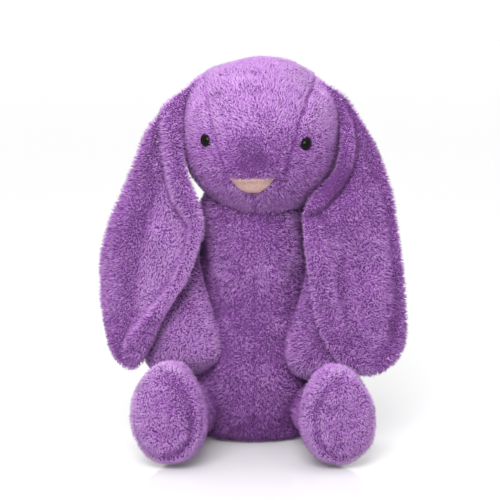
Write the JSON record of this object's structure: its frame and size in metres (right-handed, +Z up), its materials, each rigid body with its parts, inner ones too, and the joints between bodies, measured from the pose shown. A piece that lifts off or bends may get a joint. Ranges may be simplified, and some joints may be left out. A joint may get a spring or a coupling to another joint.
{
  "type": "stuffed bunny rabbit",
  "caption": "Seated plush rabbit toy with a round head, long drooping ears, hanging arms, forward legs with upright feet and a pompom tail.",
  "frame": {"origin": "middle of the flat seat, on the floor plane", "axes": "+Z up; the rabbit faces -Y; +X is the rabbit's own left side"},
  "size_m": [0.3072, 0.2689, 0.383],
  "materials": {
    "purple_plush": "short dense plush pile, matt with a soft sheen",
    "tail_plush": "long soft plush pile, matt",
    "nose_suede": "fine matt velour",
    "eye_bead": "glossy black",
    "washer_plastic": "moulded, matt",
    "polyester_filling": "lofty fibre",
    "bean_pouch": "woven lining pouch filled with pellets",
    "sewing_thread": "twisted polyester thread"
  },
  "bodies": {
    "torso": {"torso_front_left": "purple_plush", "torso_front_right": "purple_plush", "torso_back_left": "purple_plush", "torso_back_right": "purple_plush", "torso_seat": "purple_plush", "torso_stuffing": "polyester_filling", "pellet_pouch": "bean_pouch", "closing_stitches": "sewing_thread"},
    "head": {"head_gusset": "purple_plush", "head_side_left": "purple_plush", "head_side_right": "purple_plush", "head_stuffing": "polyester_filling", "nose_patch": "nose_suede", "eye_left": "eye_bead", "eye_right": "eye_bead", "eye_washer_left": "washer_plastic", "eye_washer_right": "washer_plastic"},
    "ear_left": {"ear_left_front": "purple_plush", "ear_left_back": "purple_plush"},
    "ear_right": {"ear_right_front": "purple_plush", "ear_right_back": "purple_plush"},
    "arm_left": {"arm_left_front": "purple_plush", "arm_left_back": "purple_plush", "arm_left_stuffing": "polyester_filling"},
    "arm_right": {"arm_right_front": "purple_plush", "arm_right_back": "purple_plush", "arm_right_stuffing": "polyester_filling"},
    "leg_left": {"leg_left_inner": "purple_plush", "leg_left_outer": "purple_plush", "sole_left": "purple_plush", "leg_left_stuffing": "polyester_filling", "foot_pellets_left": "bean_pouch"},
    "leg_right": {"leg_right_inner": "purple_plush", "leg_right_outer": "purple_plush", "sole_right": "purple_plush", "leg_right_stuffing": "polyester_filling", "foot_pellets_right": "bean_pouch"},
    "tail": {"tail_cover": "tail_plush", "tail_stuffing": "polyester_filling"}
  },
  "joints": [
    {"name": "head_tilt", "type": "hinge", "parent": "torso", "child": "head", "pos_m": [0, -0.004, 0.25], "axis": [-1, 0, 0], "range_deg": [0, 15], "stiffness_Nm_per_rad": 4},
    {"name": "ear_left_swing", "type": "hinge", "parent": "head", "child": "ear_left", "pos_m": [0.066, -0.014, 0.353], "axis": [0, -1, 0], "range_deg": [0, 40]},
    {"name": "ear_right_swing", "type": "hinge", "parent": "head", "child": "ear_right", "pos_m": [-0.066, -0.014, 0.353], "axis": [0, 1, 0], "range_deg": [0, 40]},
    {"name": "arm_left_swing", "type": "hinge", "parent": "torso", "child": "arm_left", "pos_m": [0.074, -0.008, 0.222], "axis": [0.4226, -0.8569, 0.2951], "range_deg": [0, 24], "stiffness_Nm_per_rad": 0.6},
    {"name": "arm_right_swing", "type": "hinge", "parent": "torso", "child": "arm_right", "pos_m": [-0.074, -0.008, 0.222], "axis": [0.4226, 0.8569, -0.2951], "range_deg": [0, 24], "stiffness_Nm_per_rad": 0.6},
    {"name": "leg_left_swing", "type": "hinge", "parent": "torso", "child": "leg_left", "pos_m": [0.054, -0.02, 0.036], "axis": [0, 0, -1], "range_deg": [-4, 12], "stiffness_Nm_per_rad": 0.4},
    {"name": "leg_right_swing", "type": "hinge", "parent": "torso", "child": "leg_right", "pos_m": [-0.054, -0.02, 0.036], "axis": [0, 0, 1], "range_deg": [-4, 12], "stiffness_Nm_per_rad": 0.4},
    {"name": "tail_wag", "type": "hinge", "parent": "torso", "child": "tail", "pos_m": [0, 0.0623, 0.038], "axis": [1, 0, 0], "range_deg": [-12, 12], "stiffness_Nm_per_rad": 0.3}
  ]
}
